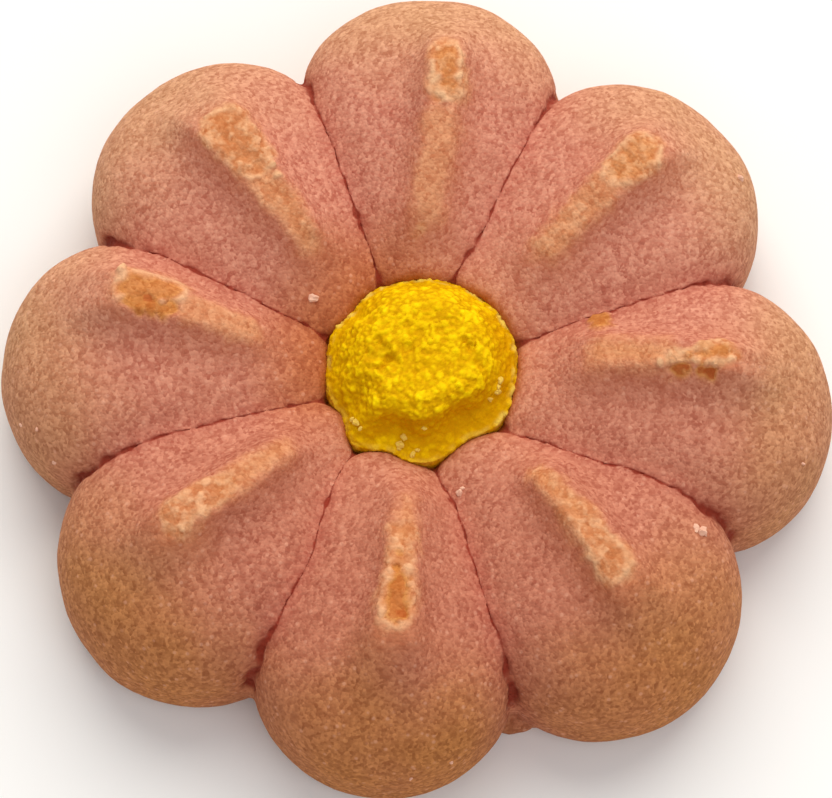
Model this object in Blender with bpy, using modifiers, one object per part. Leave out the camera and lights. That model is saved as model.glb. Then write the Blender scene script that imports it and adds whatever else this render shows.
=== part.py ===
"""Piped butter cookie: eight fused pink petals round a yellow dough centre.

The origin is on the tray under the middle of the cookie, +Z up. +Y is the first petal of the
table below and the petals follow clockwise, seen from above.
"""

import bpy
import bmesh
from math import atan2, cos, degrees, exp, hypot, pi, radians, sin, sqrt, tan
from mathutils import Vector, noise

MM = 0.001

# The flower's own centre, where the seams meet, lies a little off the middle of the outline
HEART = Vector((0.1 * MM, -0.6 * MM, 0.0))
RING_CENTRE = HEART + Vector((0.4 * MM, 0.2 * MM, 0.0))

# Petals: a wedge that its neighbours squeeze flat, with a free round end
SEAM_SQUEEZE = 1.22
SEAM_OVERLAP = 0.1 * MM
INNER_END = 3.0 * MM
WAIST = 3.0 * MM
PILLOW = 6.5 * MM
INNER_PILLOW = 4.5 * MM
INNER_BEND = 1.7
BELLY = 5.0 * MM
CROWN_POWER = 3.1
BELLY_POWER = 2.6
END_POWER = 2.4
WEDGE_BLEND = 10.0
FACETS_ROUND = 30
FACETS_ON_TOP = 22
FACETS_ALONG = 26
CREST_CROWDING = 1.5

# Torn crest along each petal, where the dough pulled off the nozzle
CREST_FLARE = 0.95 * MM
CREST_RAMP_IN = 2.4 * MM
CREST_RAMP_OUT = 4.2 * MM
CREST_CRAGS = 0.22 * MM
CRAG_SIZE = 1.1 * MM
LUMPS = 0.16 * MM
LUMP_SIZE = 6.0 * MM

# Core that the petals grow from, and the recess in it that holds the yellow dough
CORE_RADIUS = 7.6 * MM
CORE_HEIGHT = 5.6 * MM
RING_RADIUS = 5.65 * MM
RECESS_FLOOR = 3.4 * MM
CLEARANCE = 0.3 * MM

# Yellow centre: a plug with a rounded lip and a rough plateau. Its shoulder is gentle, except
# on the -Y side, where a sloping rim leads to a steep step.
SHOULDER_HEIGHT = 7.2 * MM
LIP_RADIUS = 0.5 * MM
RIM_INNER = 4.5 * MM
RIM_RISE = 0.4 * MM
GENTLE_RADIUS = 2.8 * MM
STEP_TURN = 0.2
PLATEAU_RADIUS = 3.9 * MM
PLATEAU_HEIGHT = 9.5 * MM
DISH = 0.15 * MM
DISH_RADIUS = 3.6 * MM
PLATEAU_SHIFT = Vector((0.1 * MM, 0.2 * MM, 0.0))
CRUMB_RELIEF = 0.28 * MM
CRUMB_SIZE = 0.9 * MM
CENTRE_STEPS = 52

# Crumb of dough that spread on the tray in the notch between the fourth and fifth petals
FOOT_PLACE = Vector((5.6 * MM, -18.9 * MM, 0.5 * MM))
FOOT_RADIUS = 0.9 * MM

# Bearings of the eight seams, anticlockwise from +X, going clockwise round the flower
SEAMS = (109.4, 65.5, 17.9, -26.8, -74.8, -116.6, -164.2, -205.3, -250.6)

# Seams that bend sideways near the yellow ring: bearing in degrees, how far the seam's inner end
# is turned in degrees, and where the bend has faded out in millimetres from the heart
SEAM_BENDS = (
    (65.5, 5.7, 9.0),
    (-26.8, -6.0, 16.0),
    (-74.8, -5.4, 8.5),
    (-116.6, -9.7, 14.0),
)
BEND_SPREAD = 42.0
BEND_START = 5.5

# Where the petals' inner tips press into the yellow ring, and where it spreads into a seam:
# bearing and width in degrees, and depth in millimetres
RING_PRESSES = (
    (-112.0, 12.0, 0.45),
    (-151.0, 9.0, 0.42),
    (-60.0, 18.0, 0.80),
    (-12.0, 26.0, 0.28),
    (140.0, 8.0, 0.30),
    (178.0, 12.0, 0.20),
    (-131.0, 9.0, -0.35),
)

# One row for each petal, in millimetres from the heart: reach of the tip, radius of its round end
# and lean of its axis in degrees, then the crest's two ends, its sideways offset, its height and
# its half width, each at the inner and the outer end
PETALS = (
    (24.6, 8.2, 0.0, (8.4, 18.6), (-0.2, -1.0), (1.1, 2.0), (0.75, 0.85)),
    (24.2, 8.2, 0.0, (9.6, 18.4), (0.15, 0.35), (0.9, 2.0), (0.60, 1.15)),
    (24.2, 8.0, -0.7, (9.8, 18.0), (1.35, 1.05), (1.5, 2.0), (0.85, 0.75)),
    (24.2, 8.2, 1.3, (10.0, 18.0), (1.4, 0.1), (1.6, 1.9), (0.70, 0.95)),
    (23.8, 7.8, -0.4, (7.6, 17.0), (0.7, 0.6), (1.4, 2.0), (0.40, 1.05)),
    (24.1, 8.2, 0.0, (9.0, 17.2), (-0.25, -0.8), (1.6, 1.8), (0.85, 0.90)),
    (24.1, 7.9, 0.9, (9.4, 17.0), (-1.1, -2.7), (1.1, 2.0), (0.50, 1.15)),
    (24.4, 8.2, 0.0, (9.6, 18.2), (-0.4, -1.0), (1.4, 2.0), (0.75, 1.40)),
)


def clear_scene():
    for item in list(bpy.data.objects):
        bpy.data.objects.remove(item, do_unlink=True)


def smooth_step(low, high, value):
    t = min(max((value - low) / (high - low), 0.0), 1.0)
    return t * t * (3.0 - 2.0 * t)


def mix(low, high, t):
    return low + (high - low) * min(max(t, 0.0), 1.0)


def superellipse(t, power):
    return (1.0 - min(abs(t), 1.0) ** power) ** (1.0 / power)


def seam_bend(bearing, distance):
    """How far the dough is turned about the heart at a bearing and distance, in radians."""
    total = 0.0
    for seam, turn, fade in SEAM_BENDS:
        apart = abs((degrees(bearing) - seam + 180.0) % 360.0 - 180.0)
        near = smooth_step(BEND_SPREAD, 0.0, apart)
        total += radians(turn) * near * smooth_step(fade * MM, BEND_START * MM, distance)
    return total


def turned(distance, sideways, bearing):
    """A point of a petal, from its own axes to the flower's, bent with its seams."""
    from_heart = hypot(distance, sideways)
    direction = bearing + atan2(sideways, distance)
    direction += seam_bend(direction, from_heart)
    return HEART.x + from_heart * cos(direction), HEART.y + from_heart * sin(direction)


def crest_rise(distance, offset, ends, heights, half_widths):
    """Height of the torn crest over the pillow: flat on top, flaring out like a kiss."""
    start = ends[0] * MM
    end = ends[1] * MM
    span = (distance - start) / (end - start)
    height = mix(heights[0], heights[1], span) * MM
    half_width = mix(half_widths[0], half_widths[1], span) * MM
    along = smooth_step(start - CREST_RAMP_IN, start + 0.8 * MM, distance)
    along *= 1.0 - smooth_step(end - 0.8 * MM, end + CREST_RAMP_OUT, distance)
    beside = max(abs(offset) - half_width, 0.0)
    return height * along * exp(-(beside / CREST_FLARE) ** 1.3)


def pillow_height(distance, peak, reach):
    """Top of a petal over its waist, along its axis."""
    if distance < peak:
        drop = ((peak - distance) / (peak - RING_RADIUS)) ** INNER_BEND
        return PILLOW - (PILLOW - INNER_PILLOW) * drop
    return PILLOW * superellipse((distance - peak) / (reach - peak), END_POWER)


def half_width_at(distance, peak, end_radius, half_angle):
    """Wedge near the heart, circle at the free end, blended where they meet."""
    wedge = SEAM_SQUEEZE * distance * tan(half_angle) + SEAM_OVERLAP
    beyond = max(distance - peak, 0.0)
    circle = sqrt(max(end_radius ** 2 - beyond ** 2, 0.0))
    if circle == 0.0:
        return 0.0
    ratio = circle / wedge
    return circle / (1.0 + ratio ** WEDGE_BLEND) ** (1.0 / WEDGE_BLEND)


def build_petal(number, petal, collection):
    """A sphere with its poles on the petal's axis, reshaped into one lobe of dough."""
    reach, end_radius, lean, ends, offsets, heights, half_widths = petal
    bearing = radians((SEAMS[number] + SEAMS[number + 1]) / 2.0 + lean)
    half_angle = radians((SEAMS[number] - SEAMS[number + 1]) / 2.0)
    reach *= MM
    end_radius *= MM
    peak = reach - end_radius
    top_share = 2.0 * pi * FACETS_ON_TOP / FACETS_ROUND

    bm = bmesh.new()
    bmesh.ops.create_uvsphere(bm, u_segments=FACETS_ROUND, v_segments=FACETS_ALONG, radius=1.0)
    for vert in bm.verts:
        pole = vert.co.z
        around = atan2(vert.co.y, vert.co.x) % (2.0 * pi)
        if around > 2.0 * pi - 1e-4:
            around = 0.0
        length = reach - peak if pole > 0.0 else peak - INNER_END
        distance = peak + length * pole
        width = half_width_at(distance, peak, end_radius, half_angle)
        span = (distance / MM - ends[0]) / (ends[1] - ends[0])
        path = mix(offsets[0], offsets[1], span) * MM
        if around <= top_share + 1e-4:
            turn = cos(pi * around / top_share)
            share = abs(turn) ** CREST_CROWDING * (1.0 if turn > 0.0 else -1.0)
            sideways = width * share + path * (1.0 - share * share) * min(width / (5.0 * MM), 1.0)
            side = sideways / width if width > 0.0 else 1.0
            rise = pillow_height(distance, peak, reach) * superellipse(side, CROWN_POWER)
            crest = crest_rise(distance, sideways - path, ends, heights, half_widths)
            height = WAIST + rise + crest
            grain = Vector((distance, sideways, number * 40.0 * MM))
            height += LUMPS * noise.noise(grain / LUMP_SIZE) * min(rise / (2.0 * MM), 1.0)
            height += CREST_CRAGS * noise.noise(grain / CRAG_SIZE) * min(crest / MM, 1.0)
        else:
            turn = pi + pi * (around - top_share) / (2.0 * pi - top_share)
            sideways = width * cos(turn)
            beyond = max((distance - peak) / (reach - peak), 0.0)
            depth = BELLY * superellipse(beyond, BELLY_POWER)
            height = WAIST - depth * superellipse(cos(turn), BELLY_POWER)
        vert.co.x, vert.co.y = turned(distance, sideways, bearing)
        vert.co.z = height
    bmesh.ops.remove_doubles(bm, verts=bm.verts, dist=0.002 * MM)
    bmesh.ops.recalc_face_normals(bm, faces=bm.faces)
    return add_object("petal_%d" % (number + 1), bm, collection)


def add_object(name, bm, collection):
    bmesh.ops.triangulate(bm, faces=bm.faces)
    mesh = bpy.data.meshes.new(name)
    bm.to_mesh(mesh)
    bm.free()
    item = bpy.data.objects.new(name, mesh)
    collection.objects.link(item)
    return item


def ring_radius(bearing):
    """The yellow ring, pushed in where a petal's inner tip presses on it."""
    radius = RING_RADIUS
    for middle, width, depth in RING_PRESSES:
        apart = abs((degrees(bearing) - middle + 180.0) % 360.0 - 180.0)
        radius -= depth * MM * exp(-(apart / width) ** 2)
    return radius


def build_cylinder(name, middle, radius_of, low, high, steps, collection):
    """A primitive drum whose wall follows a radius that changes with the bearing."""
    bm = bmesh.new()
    bmesh.ops.create_cone(
        bm, cap_ends=True, segments=steps, radius1=1.0, radius2=1.0, depth=high - low
    )
    for vert in bm.verts:
        bearing = atan2(vert.co.y, vert.co.x)
        radius = radius_of(bearing)
        vert.co.x = middle.x + radius * cos(bearing)
        vert.co.y = middle.y + radius * sin(bearing)
        vert.co.z += (low + high) / 2.0
    bmesh.ops.recalc_face_normals(bm, faces=bm.faces)
    return add_object(name, bm, collection)


def build_foot(collection):
    bm = bmesh.new()
    bmesh.ops.create_icosphere(bm, subdivisions=2, radius=FOOT_RADIUS)
    for vert in bm.verts:
        vert.co *= 1.0 + 0.25 * noise.noise(vert.co / FOOT_RADIUS)
        vert.co += FOOT_PLACE
    return add_object("foot", bm, collection)


def add_boolean(item, operation, operand):
    step = item.modifiers.new(operation.lower(), "BOOLEAN")
    step.operation = operation
    step.solver = "EXACT"
    if isinstance(operand, bpy.types.Collection):
        step.operand_type = "COLLECTION"
        step.collection = operand
    else:
        step.object = operand


def apply_modifiers(item):
    """Swap the mesh for its evaluated form and drop the modifiers."""
    depsgraph = bpy.context.evaluated_depsgraph_get()
    evaluated = item.evaluated_get(depsgraph)
    mesh = bpy.data.meshes.new_from_object(evaluated)
    item.modifiers.clear()
    old = item.data
    item.data = mesh
    bpy.data.meshes.remove(old)
    mesh.name = item.name


def build_petals(cookie, cutters):
    """Join the lobes and the core, cut the recess and the flat underside."""
    lobes = bpy.data.collections.new("lobes")
    bpy.context.scene.collection.children.link(lobes)
    for number, petal in enumerate(PETALS):
        build_petal(number, petal, lobes)
    build_foot(lobes)
    petals = build_cylinder(
        "petals", HEART, lambda bearing: CORE_RADIUS, -1.0 * MM, CORE_HEIGHT, 48, cookie
    )
    add_boolean(petals, "UNION", lobes)
    apply_modifiers(petals)
    for item in list(lobes.objects):
        bpy.data.objects.remove(item, do_unlink=True)
    bpy.data.collections.remove(lobes)
    clean(petals)

    recess = build_cylinder(
        "recess_cutter",
        RING_CENTRE,
        lambda bearing: ring_radius(bearing) + CLEARANCE,
        RECESS_FLOOR,
        30.0 * MM,
        CENTRE_STEPS,
        cutters,
    )
    tray = build_cylinder(
        "tray_cutter", HEART, lambda bearing: 60.0 * MM, -20.0 * MM, 0.0, 32, cutters
    )
    for cutter in (recess, tray):
        cutter.hide_render = True
        cutter.display_type = "WIRE"
        add_boolean(petals, "DIFFERENCE", cutter)
    apply_modifiers(petals)
    return petals


def top_height(radius, bearing):
    """Top of the yellow dough inside its lip: stepped on the -Y side, gentle elsewhere."""
    lip = RING_RADIUS - LIP_RADIUS
    rim = mix(SHOULDER_HEIGHT, SHOULDER_HEIGHT + RIM_RISE, (lip - radius) / (lip - RIM_INNER))
    share = min(max((lip - radius) / (lip - GENTLE_RADIUS), 0.0), 1.0)
    gentle = mix(SHOULDER_HEIGHT, PLATEAU_HEIGHT, sin(pi / 2.0 * share))
    stepped = mix(rim, gentle, smooth_step(RIM_INNER, PLATEAU_RADIUS, radius))
    dish = DISH * (1.0 - smooth_step(0.0, DISH_RADIUS, radius))
    toward = STEP_TURN * max(cos(bearing), 0.0) - sin(bearing)
    return mix(gentle, stepped, smooth_step(0.3, 0.9, toward)) - dish


def centre_profile():
    """Half section of the yellow plug, as distance from its axis and height, bottom to top."""
    bottom = RECESS_FLOOR + CLEARANCE
    points = [(0.0, bottom), (RING_RADIUS * 0.97, bottom), (RING_RADIUS, bottom + 0.3 * MM)]
    lip_steps = 3
    for step in range(lip_steps + 1):
        turn = pi / 2.0 * step / lip_steps
        radius = RING_RADIUS - LIP_RADIUS * (1.0 - cos(turn))
        points.append((radius, SHOULDER_HEIGHT - LIP_RADIUS * (1.0 - sin(turn))))
    lip = RING_RADIUS - LIP_RADIUS
    for foot, top, rings in ((lip, RIM_INNER, 2), (RIM_INNER, PLATEAU_RADIUS, 5)):
        for step in range(1, rings + 1):
            points.append((mix(foot, top, step / rings), SHOULDER_HEIGHT))
    plateau_rings = 6
    for step in range(1, plateau_rings + 1):
        points.append((PLATEAU_RADIUS * (1.0 - step / plateau_rings), SHOULDER_HEIGHT))
    return points


def build_centre(cookie):
    """Turn the profile with a Screw modifier, then press and roughen it."""
    points = centre_profile()
    points.reverse()
    mesh = bpy.data.meshes.new("centre")
    edges = [(i, i + 1) for i in range(len(points) - 1)]
    mesh.from_pydata([(radius, 0.0, height) for radius, height in points], edges, [])
    centre = bpy.data.objects.new("centre", mesh)
    cookie.objects.link(centre)
    screw = centre.modifiers.new("turn", "SCREW")
    screw.axis = "Z"
    screw.angle = 2.0 * pi
    screw.steps = CENTRE_STEPS
    screw.render_steps = CENTRE_STEPS
    screw.use_merge_vertices = True
    screw.merge_threshold = 0.00001
    apply_modifiers(centre)

    bm = bmesh.new()
    bm.from_mesh(centre.data)
    bmesh.ops.remove_doubles(bm, verts=bm.verts, dist=0.002 * MM)
    for vert in bm.verts:
        radius = hypot(vert.co.x, vert.co.y)
        bearing = atan2(vert.co.y, vert.co.x)
        if vert.co.z > SHOULDER_HEIGHT - 0.01 * MM and radius < RING_RADIUS - LIP_RADIUS:
            vert.co.z = top_height(radius, bearing)
        pressed = (RING_RADIUS - ring_radius(bearing)) * min(radius / RING_RADIUS, 1.0)
        scale = (radius - pressed) / radius if radius > 0.0 else 1.0
        vert.co.x *= scale
        vert.co.y *= scale
        raised = smooth_step(SHOULDER_HEIGHT, PLATEAU_HEIGHT, vert.co.z)
        vert.co.z += CRUMB_RELIEF * noise.noise(vert.co / CRUMB_SIZE) * raised
        edge = smooth_step(SHOULDER_HEIGHT, SHOULDER_HEIGHT + 1.0 * MM, vert.co.z)
        vert.co.x *= 1.0 + 0.035 * edge * noise.noise(vert.co / (1.4 * CRUMB_SIZE))
        vert.co += PLATEAU_SHIFT * raised
        vert.co.x += RING_CENTRE.x
        vert.co.y += RING_CENTRE.y
    bmesh.ops.recalc_face_normals(bm, faces=bm.faces)
    bm.to_mesh(centre.data)
    bm.free()
    return centre


def clean(item):
    """Drop slivers that the joins leave, and turn every face into triangles."""
    bm = bmesh.new()
    bm.from_mesh(item.data)
    bmesh.ops.remove_doubles(bm, verts=bm.verts, dist=0.01 * MM)
    bmesh.ops.dissolve_degenerate(bm, edges=bm.edges, dist=0.01 * MM)
    bmesh.ops.triangulate(bm, faces=bm.faces)
    bm.to_mesh(item.data)
    bm.free()


def settle(items):
    """Put the origin under the middle of the outline, on the tray."""
    corners = [vert.co for item in items for vert in item.data.vertices]
    middle_x = (min(c.x for c in corners) + max(c.x for c in corners)) / 2.0
    middle_y = (min(c.y for c in corners) + max(c.y for c in corners)) / 2.0
    lowest = min(c.z for c in corners)
    for item in items:
        for vert in item.data.vertices:
            vert.co -= Vector((middle_x, middle_y, lowest))


def paint(item, name, colour, roughness):
    material = bpy.data.materials.new(name)
    material.use_nodes = True
    shader = material.node_tree.nodes["Principled BSDF"]
    shader.inputs["Base Color"].default_value = colour
    shader.inputs["Roughness"].default_value = roughness
    shader.inputs["Metallic"].default_value = 0.0
    item.data.materials.clear()
    item.data.materials.append(material)
    item.data.shade_smooth()


def main():
    clear_scene()
    cookie = bpy.data.collections.new("cookie")
    cutters = bpy.data.collections.new("cutters")
    bpy.context.scene.collection.children.link(cookie)
    bpy.context.scene.collection.children.link(cutters)
    petals = build_petals(cookie, cutters)
    centre = build_centre(cookie)
    clean(petals)
    clean(centre)
    settle((petals, centre))
    paint(petals, "pink_dough", (0.53, 0.19, 0.12, 1.0), 0.85)
    paint(centre, "yellow_dough", (0.86, 0.52, 0.01, 1.0), 0.8)


main()
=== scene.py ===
"""A baked flower cookie of pink butter dough with a yellow middle, lying on a pale table."""

from math import cos, pi, radians, sin

import bmesh
import bpy
import numpy as np
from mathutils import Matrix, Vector, noise


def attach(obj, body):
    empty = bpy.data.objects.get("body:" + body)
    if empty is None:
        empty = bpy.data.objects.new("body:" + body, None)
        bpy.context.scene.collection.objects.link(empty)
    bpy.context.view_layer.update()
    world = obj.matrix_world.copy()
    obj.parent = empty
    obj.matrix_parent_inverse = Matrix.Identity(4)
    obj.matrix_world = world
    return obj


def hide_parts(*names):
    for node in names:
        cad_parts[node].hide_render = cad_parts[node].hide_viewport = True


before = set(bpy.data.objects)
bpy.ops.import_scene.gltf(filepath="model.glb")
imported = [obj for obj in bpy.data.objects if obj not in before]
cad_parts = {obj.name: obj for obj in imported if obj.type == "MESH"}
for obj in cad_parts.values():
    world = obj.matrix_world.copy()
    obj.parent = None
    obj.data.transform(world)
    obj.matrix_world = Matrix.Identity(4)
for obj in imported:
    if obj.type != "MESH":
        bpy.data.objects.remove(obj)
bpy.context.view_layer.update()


# Petals: eight lobes of pink butter dough, pressed out side by side through a nozzle so that they
# squeeze each other flat and bake together. Where the nozzle lifted off, the dough tore and left
# a crest along each lobe, paler and more orange than the skin round it.

MM = 0.001

# sizes in mm: the lobes grow from the heart, and the waist is the height where they are widest;
# a power says how square a rounding is
HEART = (-0.04, -0.43)
WAIST = 3.0
PILLOW = 6.5
INNER_PILLOW = 4.5
INNER_BEND = 1.7
BELLY = 5.0
CROWN_POWER = 3.1
BELLY_POWER = 2.6
END_POWER = 2.4
SQUEEZE = 1.22
SEAM_OVERLAP = 0.1
WEDGE_BLEND = 10.0
INNER_END = 3.0
CREST_RAMP_IN = 2.4
CREST_RAMP_OUT = 4.2
CREST_FLARE = 0.95
CREST_FLARE_POWER = 1.3
CREST_OVERLAP = 0.8
CORE_RADIUS = 7.6
CORE_HEIGHT = 5.6
RING_MIDDLE = (0.36, -0.23)
RING_RADIUS = 5.65
RECESS_FLOOR = 4.6

# bearings of the seams between the lobes, in degrees, clockwise from the top of the flower
SEAMS = (109.4, 65.5, 17.9, -26.8, -74.8, -116.6, -164.2, -205.3, -250.6)

# seams that bend sideways near the yellow ring: bearing and turn in degrees, and how far out in
# mm the bend has faded
SEAM_BENDS = ((65.5, 5.7, 9.0), (-26.8, -6.0, 16.0), (-74.8, -5.4, 8.5), (-116.6, -9.7, 14.0))
BEND_SPREAD = 42.0
BEND_START = 5.5
UNBEND_ROUNDS = 3

# bearing, width in degrees and depth in mm of each place where a lobe's inner tip presses the
# yellow ring in, or where the ring spreads into a seam
RING_PRESSES = (
    (-112.0, 12.0, 0.45),
    (-151.0, 9.0, 0.42),
    (-60.0, 18.0, 0.80),
    (-12.0, 26.0, 0.28),
    (140.0, 8.0, 0.30),
    (178.0, 12.0, 0.20),
    (-131.0, 9.0, -0.35),
)

# each lobe in mm: reach, end radius, lean in degrees; then the crest's two ends, its sideways
# place, height and half width at those ends
LOBES = (
    (24.6, 8.2, 0.0, (8.4, 18.6), (-0.2, -1.0), (1.1, 2.0), (0.75, 0.85)),
    (24.2, 8.2, 0.0, (9.6, 18.4), (0.15, 0.35), (0.9, 2.0), (0.60, 1.15)),
    (24.2, 8.0, -0.7, (9.8, 18.0), (1.35, 1.05), (1.5, 2.0), (0.85, 0.75)),
    (24.2, 8.2, 1.3, (10.0, 18.0), (1.4, 0.1), (1.6, 1.9), (0.70, 0.95)),
    (23.8, 7.8, -0.4, (7.6, 17.0), (0.7, 0.6), (1.4, 2.0), (0.40, 1.05)),
    (24.1, 8.2, 0.0, (9.0, 17.2), (-0.25, -0.8), (1.6, 1.8), (0.85, 0.90)),
    (24.1, 7.9, 0.9, (9.4, 17.0), (-1.1, -2.7), (1.1, 2.0), (0.50, 1.15)),
    (24.4, 8.2, 0.0, (9.6, 18.2), (-0.4, -1.0), (1.4, 2.0), (0.75, 1.40)),
)

# torn patches along the crests: lobe, then along, sideways and half width at both ends in mm,
# then how crumbly the patch is, how strong its pale rim and how deep its orange hollow
PATCHES = (
    (0, 16.3, -1.10, 1.15, 18.4, -1.00, 1.10, 0.9, 1.0, 0.45),
    (0, 9.3, -0.30, 0.90, 14.2, -0.85, 1.00, 0.15, 0.1, 0.0),
    (0, 8.2, 0.00, 0.30, 8.3, 0.00, 0.30, 0.8, 0.0, 0.2),
    (1, 16.2, 0.40, 1.25, 17.8, 0.30, 1.40, 0.9, 0.9, 0.35),
    (1, 10.4, 0.15, 0.95, 15.2, 0.30, 1.05, 0.6, 0.0, 0.0),
    (2, 10.3, 1.35, 0.85, 13.8, 1.05, 0.90, 0.2, 0.0, 0.25),
    (2, 14.3, 0.80, 0.50, 17.1, 1.35, 1.00, 1.3, 0.7, 0.55),
    (3, 9.9, 1.15, 0.70, 12.8, 0.85, 0.90, 0.7, 0.1, 0.2),
    (3, 12.8, 0.80, 0.90, 14.9, 0.45, 1.05, 0.8, 0.2, 0.1),
    (3, 15.7, 0.25, 1.15, 16.8, 0.10, 1.25, 0.9, 0.6, 0.1),
    (4, 8.2, 0.75, 0.30, 10.6, 0.66, 0.60, 0.3, 0.0, 0.1),
    (4, 10.6, 0.66, 0.70, 13.4, 0.55, 0.90, 0.9, 0.4, 0.2),
    (4, 13.6, 0.55, 1.00, 15.7, 0.52, 1.15, 0.7, 0.65, 0.90),
    (5, 9.2, -0.25, 0.80, 13.5, -0.60, 0.95, 0.4, 0.0, 0.1),
    (5, 13.5, -0.65, 0.95, 16.4, -0.80, 1.20, 0.9, 0.5, 0.0),
    (6, 14.2, -2.80, 1.30, 16.1, -2.75, 1.40, 0.6, 0.85, 0.87),
    (6, 9.8, -1.15, 0.80, 12.9, -1.95, 0.90, 0.4, 0.3, 0.0),
    (7, 15.0, -0.90, 1.40, 17.4, -1.05, 1.55, 1.0, 0.6, 0.15),
    (7, 9.7, -0.45, 0.80, 14.0, -0.60, 1.00, 0.6, 0.2, 0.1),
)

# single scars and scabs: lobe, along, sideways, radius, rise in mm, paleness, depth of orange
SCARS = (
    (2, 14.85, 0.22, 0.55, -0.08, 0.0, 0.93),
    (2, 15.35, 0.25, 0.55, -0.08, 0.0, 0.96),
    (2, 16.15, 0.10, 0.50, -0.08, 0.0, 0.93),
    (2, 16.60, 0.05, 0.60, -0.10, 0.0, 0.97),
    (2, 16.85, 0.60, 0.28, 0.20, 0.8, 0.0),
    (2, 13.8, 0.55, 0.38, 0.22, 0.9, 0.0),
    (2, 14.6, 0.75, 0.42, 0.24, 0.5, 0.0),
    (2, 15.4, 0.95, 0.50, 0.20, 0.1, 0.45),
    (2, 16.2, 1.70, 0.55, 0.16, 0.3, 0.3),
    (2, 10.24, 3.55, 0.80, 0.30, 0.0, 0.88),
    (4, 12.9, 0.35, 0.30, -0.12, 0.0, 0.85),
    (4, 11.9, 0.55, 0.30, -0.07, 0.0, 0.7),
    (4, 15.6, 0.85, 0.50, -0.06, 0.0, 0.95),
    (6, 17.0, -3.70, 0.34, 0.28, 1.0, 0.0),
    (6, 13.9, -1.75, 0.70, -0.06, 0.0, 0.86),
    (6, 14.5, -1.60, 0.75, -0.06, 0.0, 0.88),
    (6, 15.1, -1.55, 0.75, -0.07, 0.0, 0.90),
    (6, 15.7, -1.60, 0.75, -0.06, 0.0, 0.88),
    (6, 16.3, -1.75, 0.70, -0.06, 0.0, 0.87),
    (6, 15.3, -2.10, 0.32, -0.08, 0.0, 0.95),
    (7, 13.3, -1.30, 0.34, 0.12, 0.8, 0.0),
    (7, 13.9, -1.50, 0.25, 0.16, 0.8, 0.0),
)


def deselect_all():
    if bpy.context.object and bpy.context.object.mode != "OBJECT":
        bpy.ops.object.mode_set(mode="OBJECT")
    bpy.ops.object.select_all(action="DESELECT")


def smooth_step(low, high, value):
    t = np.clip((value - low) / (high - low), 0.0, 1.0)
    return t * t * (3.0 - 2.0 * t)


def blend_ends(ends, t):
    return ends[0] + (ends[1] - ends[0]) * np.clip(t, 0.0, 1.0)


def superellipse(t, power):
    return (1.0 - np.clip(np.abs(t), 0.0, 1.0) ** power) ** (1.0 / power)


def rough(points, size, seed):
    """Smooth noise from -1 to 1 at points in mm, one value each, with lumps of that size."""
    shift = Vector((seed * 17.3, seed * 5.9, seed * 11.1))
    return np.array([noise.noise(Vector(p) / size + shift) for p in points.tolist()])


def crumbly(points, size, seed):
    """Broken crumbs: how far a place is from the cracks, 0 to 1, and each crumb's own height."""
    shift = Vector((seed * 7.7, seed * 3.1, seed * 13.9))
    domes, heights = [], []
    for p in points.tolist():
        near, middles = noise.voronoi(Vector(p) / size + shift)
        domes.append(near[1] - near[0])
        heights.append(0.5 + 0.5 * noise.cell(middles[0] * 9.1))
    return np.clip(np.array(domes) * 1.6, 0.0, 1.0), np.array(heights)


def lobe_axes(number):
    lobe = LOBES[number]
    bearing = radians((SEAMS[number] + SEAMS[number + 1]) / 2.0 + lobe[2])
    half_angle = radians((SEAMS[number] - SEAMS[number + 1]) / 2.0)
    return bearing, half_angle


def lobe_width(along, number):
    """Half width of a lobe: a wedge near the heart, a circle at the free end."""
    reach, end_radius = LOBES[number][:2]
    wedge = SQUEEZE * along * np.tan(lobe_axes(number)[1]) + SEAM_OVERLAP
    beyond = np.maximum(along - (reach - end_radius), 0.0)
    circle = np.sqrt(np.maximum(end_radius ** 2 - beyond ** 2, 1e-9))
    wedge = np.maximum(wedge, 0.05)
    return circle / (1.0 + (circle / wedge) ** WEDGE_BLEND) ** (1.0 / WEDGE_BLEND)


def pillow_rise(along, number):
    reach, end_radius = LOBES[number][:2]
    peak = reach - end_radius
    dip = (np.maximum(peak - along, 0.0) / (peak - RING_RADIUS)) ** INNER_BEND
    inner = PILLOW - (PILLOW - INNER_PILLOW) * dip
    outer = PILLOW * superellipse(np.maximum(along - peak, 0.0) / end_radius, END_POWER)
    return np.where(along < peak, inner, outer)


def crest_height(along, sideways, number):
    """The plain height of the crest over the pillow: it flares out at its foot."""
    ends, offsets, heights, half_widths = LOBES[number][3:7]
    span = (along - ends[0]) / (ends[1] - ends[0])
    beside = np.abs(sideways - blend_ends(offsets, span)) - blend_ends(half_widths, span)
    ramp = smooth_step(ends[0] - CREST_RAMP_IN, ends[0] + CREST_OVERLAP, along)
    ramp *= 1.0 - smooth_step(ends[1] - CREST_OVERLAP, ends[1] + CREST_RAMP_OUT, along)
    fall = np.exp(-(np.maximum(beside, 0.0) / CREST_FLARE) ** CREST_FLARE_POWER)
    return blend_ends(heights, span) * ramp * fall


def patch_edge(along, sideways, patch):
    """Distance outside the edge of a torn patch, negative inside it."""
    start, left, low_width, end, right, high_width = patch[1:7]
    length = (end - start) ** 2 + (right - left) ** 2
    t = ((along - start) * (end - start) + (sideways - left) * (right - left)) / length
    t = np.clip(t, 0.0, 1.0)
    apart = np.hypot(along - start - t * (end - start), sideways - left - t * (right - left))
    return apart - (low_width + (high_width - low_width) * t)


def to_lobe(x, y, number):
    """Distance along a lobe from the heart, and sideways from its axis, in mm."""
    bearing = lobe_axes(number)[0]
    dx, dy = x - HEART[0], y - HEART[1]
    return dx * cos(bearing) + dy * sin(bearing), dy * cos(bearing) - dx * sin(bearing)


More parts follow.
